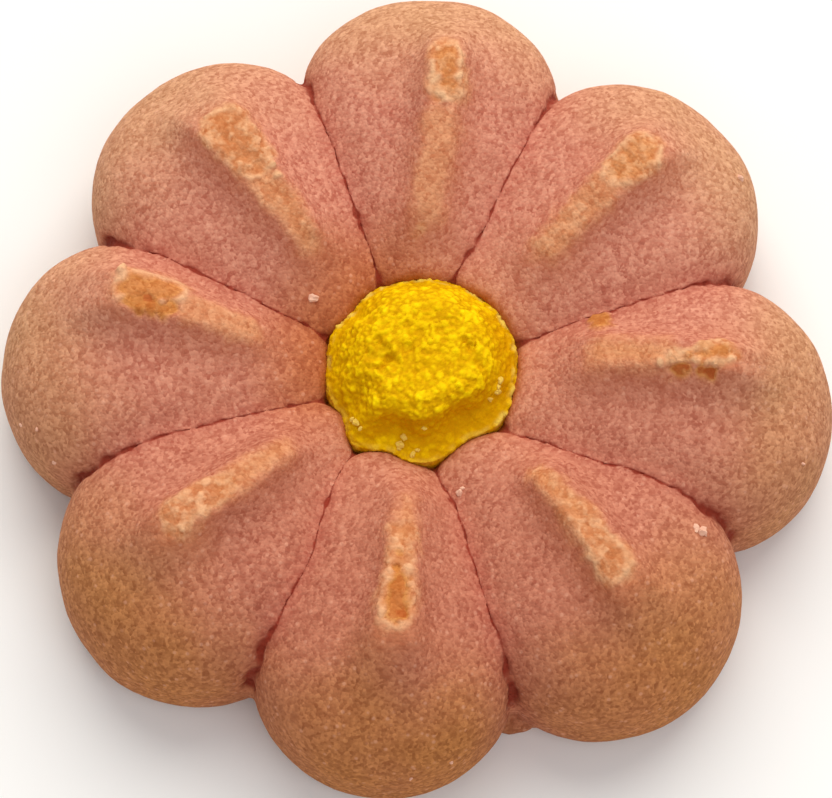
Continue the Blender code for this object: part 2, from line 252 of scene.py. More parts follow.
def bend(x, y, back=False):
    """Turn the dough about the heart as its seams bend, or take that turn back."""
    dx, dy = x - HEART[0], y - HEART[1]
    away = np.hypot(dx, dy)
    bearing = np.arctan2(dy, dx)
    turned = bearing
    for repeat in range(UNBEND_ROUNDS if back else 1):
        total = np.zeros(len(away))
        for seam, turn, fade in SEAM_BENDS:
            apart = np.abs((np.degrees(turned) - seam + 180.0) % 360.0 - 180.0)
            near = smooth_step(BEND_SPREAD, 0.0, apart) * smooth_step(fade, BEND_START, away)
            total += radians(turn) * near
        turned = bearing - total if back else bearing + total
    return HEART[0] + away * np.cos(turned), HEART[1] + away * np.sin(turned)


def lobe_top(x, y, number):
    """Height of a lobe's pillow over a place on the table, below its waist outside the lobe."""
    along, sideways = to_lobe(x, y, number)
    width = lobe_width(along, number)
    side = sideways / width
    inside = (np.abs(side) < 1.0) & (along > INNER_END) & (along < LOBES[number][0])
    height = WAIST + pillow_rise(along, number) * superellipse(side, CROWN_POWER)
    return np.where(inside, height, WAIST - 3.0 * np.maximum(np.abs(side) - 1.0, 0.0) - 0.01)


def find_owner(x, y):
    tops = [lobe_top(x, y, n) for n in range(len(LOBES))]
    return np.argmax(np.stack(tops), axis=0)


FAR_FROM_SEAMS = 9.0
SEAM_SECTOR = 14.0


def seam_distance(x, y):
    """Distance, seen from above, to the nearest line where two lobes meet."""
    bearing = np.arctan2(y - HEART[1], x - HEART[0])
    nearest = np.full(len(x), FAR_FROM_SEAMS)
    for number in range(len(LOBES)):
        other = (number + 1) % len(LOBES)
        along, sideways = to_lobe(x, y, number)
        width = lobe_width(along, number)
        other_along, other_sideways = to_lobe(x, y, other)
        other_width = lobe_width(other_along, other)
        uneven = np.abs(np.abs(sideways) / width - np.abs(other_sideways) / other_width)
        turn = np.abs((bearing - radians(SEAMS[number + 1]) + pi) % (2.0 * pi) - pi)
        apart = uneven / (1.0 / width + 1.0 / other_width)
        in_sector = turn < radians(SEAM_SECTOR)
        nearest = np.where(in_sector, np.minimum(nearest, apart), nearest)
    return nearest


def ring_radius(bearing):
    """Radius of the yellow ring in mm, for bearings in radians."""
    radius = np.full(np.shape(bearing), RING_RADIUS)
    for middle, width, depth in RING_PRESSES:
        apart = np.abs((np.degrees(bearing) - middle + 180.0) % 360.0 - 180.0)
        radius = radius - depth * np.exp(-(apart / width) ** 2)
    return radius


def get_points(mesh):
    flat = np.empty(len(mesh.vertices) * 3)
    mesh.vertices.foreach_get("co", flat)
    return flat.reshape(-1, 3) / MM


def set_points(mesh, points):
    mesh.vertices.foreach_set("co", (points * MM).ravel())
    mesh.update()


def get_normals(mesh):
    flat = np.empty(len(mesh.vertices) * 3, dtype=np.float32)
    mesh.vertex_normals.foreach_get("vector", flat)
    return flat.reshape(-1, 3).astype(float)


def store(mesh, name, values):
    layer = mesh.attributes.new(name, "FLOAT", "POINT")
    layer.data.foreach_set("value", np.clip(values, 0.0, 1.0).astype(np.float32))


def apply_all(piece):
    deselect_all()
    piece.select_set(True)
    bpy.context.view_layer.objects.active = piece
    for step in list(piece.modifiers):
        bpy.ops.object.modifier_apply(modifier=step.name)


# each lobe is pressed into shape from a ball whose poles lie on the lobe's axis, with most of its
# sides on top, crowded towards the crest
AROUND = 96
ON_TOP = 70
ENDWAYS = 110
CROWDING = 1.5
FULL_LEAN_WIDTH = 5.0
SLACK = 1e-4
lobes = []
for number, lobe in enumerate(LOBES):
    deselect_all()
    bpy.ops.mesh.primitive_uv_sphere_add(segments=AROUND, ring_count=ENDWAYS, radius=MM)
    ball = bpy.context.object
    unit = get_points(ball.data)
    reach, end_radius = lobe[:2]
    peak = reach - end_radius
    along = peak + np.where(unit[:, 2] > 0.0, end_radius, peak - INNER_END) * unit[:, 2]
    around = np.arctan2(unit[:, 1], unit[:, 0]) % (2.0 * pi)
    around = np.where(around > 2.0 * pi - SLACK, 0.0, around)
    top_share = 2.0 * pi * ON_TOP / AROUND
    on_top = around <= top_share + SLACK
    turn = np.cos(pi * around / top_share)
    share = np.sign(turn) * np.abs(turn) ** CROWDING
    width = lobe_width(along, number)
    span = (along - lobe[3][0]) / (lobe[3][1] - lobe[3][0])
    path = blend_ends(lobe[4], span)
    lean = np.minimum(width / FULL_LEAN_WIDTH, 1.0)
    top_side = width * share + path * (1.0 - share ** 2) * lean
    top_height = pillow_rise(along, number) * superellipse(top_side / width, CROWN_POWER)
    top_height = WAIST + top_height + crest_height(along, top_side, number)
    under = pi + pi * (around - top_share) / (2.0 * pi - top_share)
    beyond = np.maximum((along - peak) / end_radius, 0.0)
    depth = BELLY * superellipse(beyond, BELLY_POWER)
    under_height = WAIST - depth * superellipse(np.cos(under), BELLY_POWER)
    sideways = np.where(on_top, top_side, width * np.cos(under))
    height = np.where(on_top, top_height, under_height)
    bearing = lobe_axes(number)[0]
    x = HEART[0] + along * cos(bearing) - sideways * sin(bearing)
    y = HEART[1] + along * sin(bearing) + sideways * cos(bearing)
    x, y = bend(x, y)
    set_points(ball.data, np.stack([x, y, height], 1))
    deselect_all()
    ball.select_set(True)
    bpy.context.view_layer.objects.active = ball
    bpy.ops.object.mode_set(mode="EDIT")
    bpy.ops.mesh.select_all(action="SELECT")
    bpy.ops.mesh.normals_make_consistent(inside=False)
    bpy.ops.object.mode_set(mode="OBJECT")
    lobes.append(ball)

# dough that spread on the tray in the notch between the fourth and fifth lobes
FOOT_PLACE = (5.74, -19.07, 0.5)
FOOT_RADIUS = 0.95
FOOT_LUMPS = 0.35
deselect_all()
bpy.ops.mesh.primitive_ico_sphere_add(
    subdivisions=4, radius=FOOT_RADIUS * MM, location=[value * MM for value in FOOT_PLACE]
)
foot = bpy.context.object
bpy.ops.object.transform_apply(location=True, rotation=True, scale=True)
points = get_points(foot.data)
away = points - np.array(FOOT_PLACE)
lumps = 1.0 + FOOT_LUMPS * rough(points, size=0.9, seed=41)
points = np.array(FOOT_PLACE) + away * lumps[:, None]
set_points(foot.data, points)
lobes.append(foot)

# the core that the lobes grow from, sunk a little so that the cut leaves it flat
CORE_SINK = 1.0
deselect_all()
bpy.ops.mesh.primitive_cylinder_add(
    vertices=AROUND,
    radius=CORE_RADIUS * MM,
    depth=(CORE_HEIGHT + CORE_SINK) * MM,
    location=(HEART[0] * MM, HEART[1] * MM, (CORE_HEIGHT - CORE_SINK) / 2.0 * MM),
)
petals = bpy.context.object
petals.name = "petals_dough"
bpy.ops.object.transform_apply(location=True, rotation=True, scale=True)
for ball in lobes:
    ball.select_set(True)
bpy.ops.object.join()

# all of it is one dough, with the corners between the lobes a little rounded
GRAIN_STEP = 0.26
remesh = petals.modifiers.new("one_dough", "REMESH")
remesh.mode = "VOXEL"
remesh.voxel_size = GRAIN_STEP * MM
relax = petals.modifiers.new("relax", "SMOOTH")
relax.factor = 0.5
relax.iterations = 3
apply_all(petals)

# cut off flat where it lay on the tray, and close the underside as a fan from its middle
bpy.ops.object.mode_set(mode="EDIT")
bpy.ops.mesh.select_all(action="SELECT")
bpy.ops.mesh.bisect(
    plane_co=(0.0, 0.0, 0.0),
    plane_no=(0.0, 0.0, 1.0),
    use_fill=False,
    clear_inner=True,
    threshold=0.001 * MM,
)
bpy.ops.object.mode_set(mode="OBJECT")
bm = bmesh.new()
bm.from_mesh(petals.data)
middle = bm.verts.new((HEART[0] * MM, HEART[1] * MM, 0.0))
for edge in [edge for edge in bm.edges if edge.is_boundary]:
    bm.faces.new((edge.verts[0], edge.verts[1], middle))
bmesh.ops.recalc_face_normals(bm, faces=bm.faces)
bm.to_mesh(petals.data)
bm.free()

# finer dough where it is torn or cracked, so many mm from a seam or a torn edge
FINE_BY_SEAM = 0.32
FINE_BY_TEAR = 0.40
FINE_FROM_MIDDLE = 4.9
points = get_points(petals.data)
flat_x, flat_y = bend(points[:, 0], points[:, 1], back=True)
owner = find_owner(flat_x, flat_y)
seam = seam_distance(flat_x, flat_y)
fine = seam < FINE_BY_SEAM
for patch in PATCHES:
    along, sideways = to_lobe(flat_x, flat_y, patch[0])
    fine |= (owner == patch[0]) & (patch_edge(along, sideways, patch) < FINE_BY_TEAR)
fine &= points[:, 2] > WAIST + 1.0
from_ring = np.hypot(points[:, 0] - RING_MIDDLE[0], points[:, 1] - RING_MIDDLE[1])
fine &= from_ring > FINE_FROM_MIDDLE
deselect_all()
petals.select_set(True)
bpy.context.view_layer.objects.active = petals
bpy.ops.object.mode_set(mode="EDIT")
bpy.ops.mesh.select_mode(type="FACE")
bpy.ops.mesh.select_all(action="DESELECT")
bpy.ops.object.mode_set(mode="OBJECT")
for face in petals.data.polygons:
    face.select = all(fine[i] for i in face.vertices)
bpy.ops.object.mode_set(mode="EDIT")
bpy.ops.mesh.subdivide(number_cuts=1)
bpy.ops.object.mode_set(mode="OBJECT")

# where every point of the dough lies
points = get_points(petals.data)
normals = get_normals(petals.data)
flat_x, flat_y = bend(points[:, 0], points[:, 1], back=True)
owner = find_owner(flat_x, flat_y)
above = smooth_step(WAIST, WAIST + 1.0, points[:, 2])
off_base = smooth_step(0.02, 0.8, points[:, 2])
from_ring = np.hypot(points[:, 0] - RING_MIDDLE[0], points[:, 1] - RING_MIDDLE[1])
ring_bearing = np.arctan2(points[:, 1] - RING_MIDDLE[1], points[:, 0] - RING_MIDDLE[0])
ring_edge = ring_radius(ring_bearing)
inward = np.maximum(from_ring - ring_edge, 0.0)
wander = rough(points, size=1.6, seed=2)
nibble = rough(points, size=0.5, seed=1)

# torn patches: edges that wander and are nibbled, a pale rim just inside them, an orange hollow
# further in and painted shade in warm orange outside, in mm
EDGE_SOFTNESS = 0.30
SMOOTH_SOFTNESS = 0.35
EDGE_WANDER = 0.32
EDGE_NIBBLE = 0.26
RIM_INSET = 0.22
RIM_WIDTH = 0.24
RIM_GAPS = (-0.40, 0.35)
PIT_INSETS = (-0.30, -0.85)
TEAR_SHADE_REACH = 0.75
torn = np.zeros(len(points))
rim = np.zeros(len(points))
pit = np.zeros(len(points))
painted_tear_shade = np.zeros(len(points))
crumb_share = np.zeros(len(points))
for patch in PATCHES:
    along, sideways = to_lobe(flat_x, flat_y, patch[0])
    crumbly_share, rim_share, pit_share = patch[7:]
    soft = EDGE_SOFTNESS + SMOOTH_SOFTNESS * (1.0 - crumbly_share)
    edge = patch_edge(along, sideways, patch) + EDGE_WANDER * wander + EDGE_NIBBLE * nibble
    mine = (owner == patch[0]) * above
    inside = (1.0 - smooth_step(-soft, soft, edge)) * mine
    torn = np.maximum(torn, inside * min(0.75 + 0.25 * crumbly_share, 1.0))
    crumb_share = np.maximum(crumb_share, inside * crumbly_share)
    broken = smooth_step(*RIM_GAPS, wander + 0.7 * nibble)
    line = np.exp(-((edge + RIM_INSET) / RIM_WIDTH) ** 2)
    rim = np.maximum(rim, line * rim_share * broken * mine)
    pit = np.maximum(pit, smooth_step(*PIT_INSETS, edge) * pit_share * mine)
    painted_tear_shade = np.maximum(painted_tear_shade, np.exp(-np.maximum(edge, 0.0) / TEAR_SHADE_REACH) * mine)

# single scars and scabs over them
SCAR_EDGE = (0.45, 1.1)
scar_rise = np.zeros(len(points))
for number, place, across, radius, rise, pale, orange in SCARS:
    along, sideways = to_lobe(flat_x, flat_y, number)
    apart = np.hypot(along - place, sideways - across) / radius + 0.45 * nibble + 0.3 * wander
    spot = (1.0 - smooth_step(*SCAR_EDGE, apart)) * (owner == number) * above
    scar_rise += rise * spot
    torn = np.maximum(torn, spot)
    rim = np.maximum(rim * (1.0 - spot * (orange > 0.0)), pale * spot)
    pit = np.maximum(pit * (1.0 - spot * pale), orange * spot)

# where the oven browned the free ends: from one distance along a lobe to another, wandering
CRUST_SPAN = (14.8, 22.8)
CRUST_WANDER = 1.6
crust = np.zeros(len(points))
for number in range(len(LOBES)):
    along = to_lobe(flat_x, flat_y, number)[0]
    along = along + CRUST_WANDER * rough(points, size=3.5, seed=5)
    crust = np.where(owner == number, smooth_step(*CRUST_SPAN, along), crust)

# the seams wander a little, close up here and there, and open at the ring and at the notches
SEAM_WANDER = 0.20
SEAM_NIBBLE = 0.12
RING_REACH = 0.7
NOTCH_SPAN = (15.5, 20.0)
SEAM_END = 21.5
SEAM_FOOT = (3.4, 4.6)
CRACK_WIDTH = 0.13
CLUMP_WIDTH = 0.26
MOUTH_WIDTH = 0.34
MOUTH_REACH = 0.55
BLUSH_WIDTH = 0.7
wobble_x = SEAM_WANDER * wander + SEAM_NIBBLE * nibble
wobble_y = SEAM_WANDER * rough(points, size=1.4, seed=3)
wobble_y += SEAM_NIBBLE * rough(points, size=0.5, seed=13)
seam = seam_distance(flat_x + wobble_x, flat_y + wobble_y)
away = np.hypot(points[:, 0] - HEART[0], points[:, 1] - HEART[1])
near_ring = np.exp(-inward / RING_REACH)
near_notch = smooth_step(*NOTCH_SPAN, away)
crack_width = CRACK_WIDTH + 0.05 * wander + 0.07 * nibble + 0.05 * near_ring + 0.10 * near_notch
crack_width = np.maximum(crack_width, 0.05)
crack = np.exp(-(seam / crack_width) ** 2) * (0.80 + 0.40 * rough(points, size=0.8, seed=12))
clumps = smooth_step(0.25, 0.55, rough(points, size=1.5, seed=14))
crack += 0.9 * np.exp(-(seam / CLUMP_WIDTH) ** 2) * clumps
crack += 0.8 * np.exp(-(seam / MOUTH_WIDTH) ** 2) * np.exp(-(inward / MOUTH_REACH) ** 2)
crack *= smooth_step(*SEAM_FOOT, points[:, 2]) * (from_ring > ring_edge) * (away < SEAM_END)
crack = np.clip(crack, 0.0, 1.0)
blush = np.exp(-(seam / BLUSH_WIDTH) ** 2) * above * (from_ring > ring_edge)

# crumbs for the torn dough and the seams, coarse ones with fine ones among them
COARSE_CRUMB = 0.48
FINE_CRUMB = 0.30
CRUMB_SEAM = 0.7
crumbs = np.zeros(len(points))
picked = np.nonzero((torn > 0.02) | (seam < CRUMB_SEAM))[0]
coarse_dome, coarse_height = crumbly(points[picked], COARSE_CRUMB, seed=9)
fine_dome, fine_height = crumbly(points[picked], FINE_CRUMB, seed=10)
crumbs[picked] = 0.25 * (coarse_dome - 0.5) + 0.45 * (coarse_height - 0.5)
crumbs[picked] += 0.20 * (fine_dome - 0.5) + 0.30 * (fine_height - 0.5)

# the relief of the skin, the seams and the torn dough: heights, depths and widths in mm
SWELL = 0.09
WAVE = 0.020
SAND = 0.012
SEAM_PUFF = 0.26
SEAM_PUFF_WIDTH = 0.55
CRACK_DEPTH = 0.13
RING_CRACK_DEPTH = 0.12
NOTCH_CRACK_DEPTH = 0.25
CRUMB_DEPTH = 0.14
LUMP_DEPTH = 0.12
SEAM_CRUMBS = 0.10
SEAM_CRUMB_WIDTH = 0.30
RIM_RISE = 0.07
RIM_CRUMBS = 0.09
TORN_RISE = 0.03
PIT_DEPTH = 0.12
shift = SWELL * rough(points, size=3.2, seed=6) + WAVE * rough(points, size=1.3, seed=7)
shift += SAND * rough(points, size=0.45, seed=8) * (1.0 - torn)
shift *= off_base
puff = np.exp(-(seam / SEAM_PUFF_WIDTH) ** 2) * above
shift += SEAM_PUFF * puff * (1.0 - near_notch) * (1.0 - near_ring)
shift -= crack * (CRACK_DEPTH + RING_CRACK_DEPTH * near_ring + NOTCH_CRACK_DEPTH * near_notch)
shift += crumb_share * (CRUMB_DEPTH * crumbs + LUMP_DEPTH * rough(points, size=0.8, seed=11))
shift += np.exp(-(seam / SEAM_CRUMB_WIDTH) ** 2) * SEAM_CRUMBS * crumbs * above
shift += rim * (RIM_RISE + RIM_CRUMBS * crumbs) + torn * TORN_RISE - pit * PIT_DEPTH
shift += scar_rise * (0.8 + 0.5 * crumbs)
points += normals * shift[:, None]

# rounded inner tips, and the recess that the yellow dough sits in
TIP_DROP = 0.42
TIP_LENGTH = 0.38
RECESS_GAP = 0.12
points[:, 2] -= TIP_DROP * np.exp(-inward / TIP_LENGTH) * above
in_recess = (from_ring < ring_edge - RECESS_GAP) & (points[:, 2] > WAIST)
points[in_recess, 2] = RECESS_FLOOR
points[:, 2] = np.maximum(points[:, 2], 0.0)
set_points(petals.data, points)

# what the material reads, some of it fading over a span or a reach in mm
INNER_REACH = 1.6
SHADED_SPAN = (5.5, 0.6)
NEAR_SHADE_SPAN = (-22.0, 10.0)
BASE_HEIGHT = 2.6
RING_SHADOW_WIDTH = 0.24
store(petals.data, "torn", torn)
store(petals.data, "rim", rim)
store(petals.data, "pit", pit)
# painted light and shade: higher crumbs paler, lower ones darker
store(petals.data, "crumb_light", 0.45 + 1.1 * crumbs)
store(petals.data, "crumbly", crumb_share)
# painted shade: warm orange beside the tears, stronger on faces turned away from the lamp
turned_from_lamp = smooth_step(0.25, -0.35, normals[:, 1])
store(petals.data, "painted_tear_shade", painted_tear_shade * (1.0 - torn) * (0.35 + 0.65 * turned_from_lamp))
store(petals.data, "crack", crack)
store(petals.data, "crust", crust)
store(petals.data, "blush", blush)
# painted shade: darker towards the near side of the flower, away from the lamp
store(petals.data, "near_shade", 1.0 - smooth_step(*NEAR_SHADE_SPAN, points[:, 1]))
# partly dye and partly a painted reflection of the yellow: warmer near the ring
store(petals.data, "inner", np.exp(-inward / INNER_REACH) * above)
# painted shade on the petals' inner ends left of the ring
left_side = smooth_step(0.3, 1.0, -np.cos(ring_bearing) + 0.5 * np.sin(ring_bearing))
store(petals.data, "shaded", left_side * smooth_step(*SHADED_SPAN, inward) * above)
# painted shadow: a thin brown line where the yellow ring lies against the petals
ring_shadow_width = RING_SHADOW_WIDTH + 0.10 * nibble
store(petals.data, "ring_shadow", np.exp(-(inward / ring_shadow_width) ** 2) * above)
store(petals.data, "base", 1.0 - smooth_step(0.0, BASE_HEIGHT, points[:, 2]))

# triangles, so that no face bends another way, smooth but for creases over 60 degrees
DOUGH_CREASE = 60.0
deselect_all()
petals.select_set(True)
bpy.context.view_layer.objects.active = petals
bpy.ops.object.mode_set(mode="EDIT")
bpy.ops.mesh.select_all(action="SELECT")
bpy.ops.mesh.quads_convert_to_tris(quad_method="BEAUTY", ngon_method="BEAUTY")
bpy.ops.object.mode_set(mode="OBJECT")
bpy.ops.object.shade_smooth_by_angle(angle=radians(DOUGH_CREASE))


def colour(text):
    """sRGB hex to the linear values that a shader works in."""
    parts = [int(text[i:i + 2], 16) / 255.0 for i in (1, 3, 5)]
    linear = [c / 12.92 if c <= 0.04045 else ((c + 0.055) / 1.055) ** 2.4 for c in parts]
    return (*linear, 1.0)


def add_node(tree, kind, settings=None, inputs=None):
    """Add a node, set its properties, and give each input a value, a hex colour or an output."""
    node = tree.nodes.new(kind)
    for name, value in (settings or {}).items():
        setattr(node, name, value)
    for name, value in (inputs or {}).items():
        if isinstance(value, bpy.types.NodeSocket):
            tree.links.new(value, node.inputs[name])
        else:
            node.inputs[name].default_value = colour(value) if isinstance(value, str) else value
    return node


def new_material(name, roughness, specular, ior=1.5):
    material = bpy.data.materials.new(name)
    material.use_nodes = True
    tree = material.node_tree
    tree.nodes.clear()
    finish = {"Roughness": roughness, "Specular IOR Level": specular, "IOR": ior}
    shader = add_node(tree, "ShaderNodeBsdfPrincipled", None, finish)
    add_node(tree, "ShaderNodeOutputMaterial", None, {"Surface": shader.outputs[0]})
    return material, tree, shader


def lay_over(tree, base, top, where, strength=1.0, low=0.0, high=1.0, soft=False):
    """Lay one colour over another where an attribute or an output goes from low to high."""
    if isinstance(where, str):
        where = add_node(tree, "ShaderNodeAttribute", {"attribute_name": where}).outputs["Fac"]
    amount = add_node(
        tree,
        "ShaderNodeMapRange",
        {"interpolation_type": "SMOOTHSTEP" if soft else "LINEAR"},
        {"Value": where, "From Min": low, "From Max": high, "To Max": strength},
    )
    mixer = add_node(
        tree, "ShaderNodeMix", {"data_type": "RGBA"}, {0: amount.outputs[0], 6: base, 7: top}
    )
    return mixer.outputs[2]


def add_up(tree, shares):
    """The sum of nodes' outputs, each times its share."""
    total = 0.0
    for value, share in shares:
        step = add_node(
            tree, "ShaderNodeMath", {"operation": "MULTIPLY_ADD"}, {0: value, 1: share, 2: total}
        )
        total = step.outputs[0]
    return total


def sandy(tree, sand_sizes, mottle_size, mottle_look, mottle_span, tones, heights, bump_look):
    """Fine and coarse sand grains and a mottle, each with its share of the tone and the height.

    Sizes are in mm. Gives the tone from 0 to 1, the bump and the coarse grains.
    """
    place = add_node(tree, "ShaderNodeTexCoord").outputs["Object"]
    fine, coarse = [
        add_node(tree, "ShaderNodeTexVoronoi", None, {"Vector": place, "Scale": 1.0 / (size * MM)})
        for size in sand_sizes
    ]
    detail, roughness = mottle_look
    mottle = add_node(
        tree,
        "ShaderNodeTexNoise",
        None,
        {
            "Vector": place,
            "Scale": 1.0 / (mottle_size * MM),
            "Detail": detail,
            "Roughness": roughness,
        },
    )
    spread = add_node(
        tree,
        "ShaderNodeMapRange",
        {"interpolation_type": "SMOOTHSTEP"},
        {"Value": mottle.outputs["Fac"], "From Min": mottle_span[0], "From Max": mottle_span[1]},
    )
    colours = (fine.outputs["Color"], coarse.outputs["Color"], spread.outputs[0])
    tone = add_up(tree, zip(colours, tones))
    proud = (fine.outputs["Distance"], coarse.outputs["Distance"], mottle.outputs["Fac"])
    strength, distance = bump_look
    bump = add_node(
        tree,
        "ShaderNodeBump",
        None,
        {
            "Height": add_up(tree, zip(proud, heights)),
            "Strength": strength,
            "Distance": distance * MM,
        },
    )
    return tone, bump, coarse


# Baked pink butter dough: flour, sugar and butter, dull and sandy, each grain its own shade of
# pink, tan where the oven caught it and orange where it tore
dough, tree, shader = new_material(
    "baked_pink_butter_dough", roughness=0.85, specular=0.2, ior=1.45
)
tone, bump, coarse = sandy(
    tree,
    sand_sizes=(0.19, 0.36),
    mottle_size=0.45,
    mottle_look=(3.0, 0.65),
    mottle_span=(0.2, 0.8),
    tones=(0.56, 0.24, 0.24),
    heights=(-1.0, -0.8, 0.6),
    bump_look=(0.42, 0.09),
)
tone = add_node(
    tree,
    "ShaderNodeMapRange",
    {"interpolation_type": "SMOOTHSTEP"},
    {"Value": tone, "From Min": 0.10, "From Max": 0.94},
).outputs[0]
place = add_node(tree, "ShaderNodeTexCoord").outputs["Object"]
BLOTCH_SIZE = 2.6
BROWNING_SIZE = 6.0
blotch, broad = [
    add_node(
        tree,
        "ShaderNodeTexNoise",
        None,
        {"Vector": place, "Scale": 1.0 / (size * MM), "Detail": 2.0, "Roughness": 0.5},
    ).outputs["Fac"]
    for size in (BLOTCH_SIZE, BROWNING_SIZE)
]

# the pink skin, darker on the near petals as painted shade
upper = lay_over(tree, "#ad5c49", "#df9a80", tone)
near_shaded_skin = lay_over(tree, "#974c38", "#c98065", tone)
skin = lay_over(tree, upper, near_shaded_skin, "near_shade")
skin = lay_over(tree, skin, "#cb8568", blotch, strength=0.18, low=0.35, high=0.7, soft=True)
skin = lay_over(tree, skin, "#b4574a", "blush", 0.30)

# tan and brown towards the petals' free ends: the tan is the oven's browning, the browner tone on
# the near petals is painted shade
tan = lay_over(tree, "#ab714c", "#dda77f", tone)
near_shaded_brown = lay_over(tree, "#945629", "#cb8549", tone)
crust_and_near_shade = lay_over(tree, tan, near_shaded_brown, "near_shade")
uneven = add_node(
    tree,
    "ShaderNodeMapRange",
    {"interpolation_type": "SMOOTHSTEP"},
    {"Value": broad, "From Min": 0.25, "From Max": 0.7, "To Min": 0.7},
)
crust = add_node(tree, "ShaderNodeAttribute", {"attribute_name": "crust"})
browning = add_node(
    tree,
    "ShaderNodeMath",
    {"operation": "MULTIPLY"},
    {0: crust.outputs["Fac"], 1: uneven.outputs[0]},
)
skin = lay_over(tree, skin, crust_and_near_shade, browning.outputs[0])

# warmer round the ring, partly yellow dye bled in and partly a painted reflection of the yellow;
# painted shade on the ring's left side and beside the tears; warmer at the foot
skin = lay_over(tree, skin, lay_over(tree, "#bb6a44", "#e09c74", tone), "inner", 0.60)
skin = lay_over(tree, skin, lay_over(tree, "#984a26", "#c47344", tone), "shaded", 0.85)
skin = lay_over(tree, skin, "#c46e44", "painted_tear_shade", 0.55)
skin = lay_over(tree, skin, "#9a5f38", "base", 0.5)

# a pale fleck in the middle of some coarse grains
some, inside = [
    add_node(
        tree,
        "ShaderNodeMapRange",
        {"interpolation_type": "SMOOTHSTEP"},
        {"Value": coarse.outputs[name], "From Min": low, "From Max": high},
    ).outputs[0]
    for name, low, high in (("Color", 0.66, 0.80), ("Distance", 0.42, 0.20))
]
fleck = add_node(tree, "ShaderNodeMath", {"operation": "MULTIPLY"}, {0: some, 1: inside})
skin = lay_over(tree, skin, "#edb296", fleck.outputs[0], 0.28)

# torn dough: crumbs with tops painted paler and gaps painted darker, as painted light and shade;
# orange hollows, pale rims
crumb = lay_over(tree, "#c0744a", "#e8a372", tone)
crumb_light_and_shade = lay_over(tree, "#b4622c", "#f4c294", "crumb_light", low=0.15, high=0.80, soft=True)
crumb = lay_over(tree, crumb, crumb_light_and_shade, "crumbly", 0.56)
crumb = lay_over(tree, crumb, lay_over(tree, "#b06a1c", "#d88e3a", tone), "pit", 0.90)
crumb = lay_over(tree, crumb, "#ac4a14", "pit", strength=0.85, low=0.82, high=0.98, soft=True)
crumb = lay_over(tree, crumb, "#f0c495", "rim", 0.75)
skin = lay_over(tree, skin, crumb, "torn", 0.92)

# dark red seams, and a painted brown shadow where the ring lies against the petals
skin = lay_over(tree, skin, "#8c2a18", "crack", strength=0.88, low=0.10, high=0.80, soft=True)
skin = lay_over(tree, skin, "#a85a10", "ring_shadow", 0.90)
tree.links.new(skin, shader.inputs["Base Color"])
tree.links.new(bump.outputs[0], shader.inputs["Normal"])
petals.data.materials.clear()
petals.data.materials.append(dough)
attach(petals, "root")
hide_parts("petals")


# Yellow middle: a plug of yellow butter dough, piped in last. A thin pale lip lies against the
# petals, a golden rim slopes up to a steep step, and the top broke off rough like a sponge.

# sizes in mm
CENTRE_STEP = 0.09
LIP_WIDTH = 0.5
SHOULDER_HEIGHT = 7.2
DOME_FOOT = 6.95
STEP_FOOT = 4.5
SHOULDER_RISE = 0.4
GENTLE_RADIUS = 2.8
STEP_TURN = 0.2
PLATEAU_RADIUS = 3.9
PLATEAU_HEIGHT = 9.5
PLATEAU_SHIFT = (0.1, 0.2)
PLATEAU_FADE = (5.1, 3.6)
NEAR_SIDE = (0.3, 0.9)
LIP_SPREAD = 0.10
LIP_SPREAD_FROM = 0.8
LIP_SPREAD_HEIGHT = 6.0

# the CAD solid, merged and made again in even fine faces
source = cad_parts["centre"]
centre = bpy.data.objects.new("centre_dough", source.data.copy())
bpy.context.scene.collection.objects.link(centre)
deselect_all()
centre.select_set(True)
bpy.context.view_layer.objects.active = centre
bpy.ops.object.mode_set(mode="EDIT")
bpy.ops.mesh.select_all(action="SELECT")
bpy.ops.mesh.remove_doubles(threshold=0.002 * MM)
bpy.ops.object.mode_set(mode="OBJECT")
remesh = centre.modifiers.new("one_dough", "REMESH")
remesh.mode = "VOXEL"
remesh.voxel_size = CENTRE_STEP * MM
relax = centre.modifiers.new("relax", "SMOOTH")
relax.factor = 0.5
relax.iterations = 12
apply_all(centre)

# places in mm of the holes that crumbs left in the plateau: x, y, radius, depth
HOLLOWS = (
    (-2.00, -0.10, 0.70, 0.26),
    (-1.35, -0.50, 0.55, 0.22),
    (-1.90, -1.00, 0.35, 0.14),
    (-2.16, 0.79, 0.26, 0.18),
    (3.07, 0.42, 0.34, 0.28),
    (2.75, 0.75, 0.22, 0.16),
    (3.55, -0.45, 0.45, 0.18),
    (-0.45, 0.30, 0.35, 0.14),
    (1.37, 1.40, 0.35, 0.12),
)
points = get_points(centre.data)
dx = points[:, 0] - RING_MIDDLE[0]
dy = points[:, 1] - RING_MIDDLE[1]
moved = smooth_step(*PLATEAU_FADE, np.hypot(dx, dy))
dx -= PLATEAU_SHIFT[0] * moved
dy -= PLATEAU_SHIFT[1] * moved
bearing = np.arctan2(dy, dx)
edge = ring_radius(bearing)
radius = np.hypot(dx, dy) * RING_RADIUS / edge

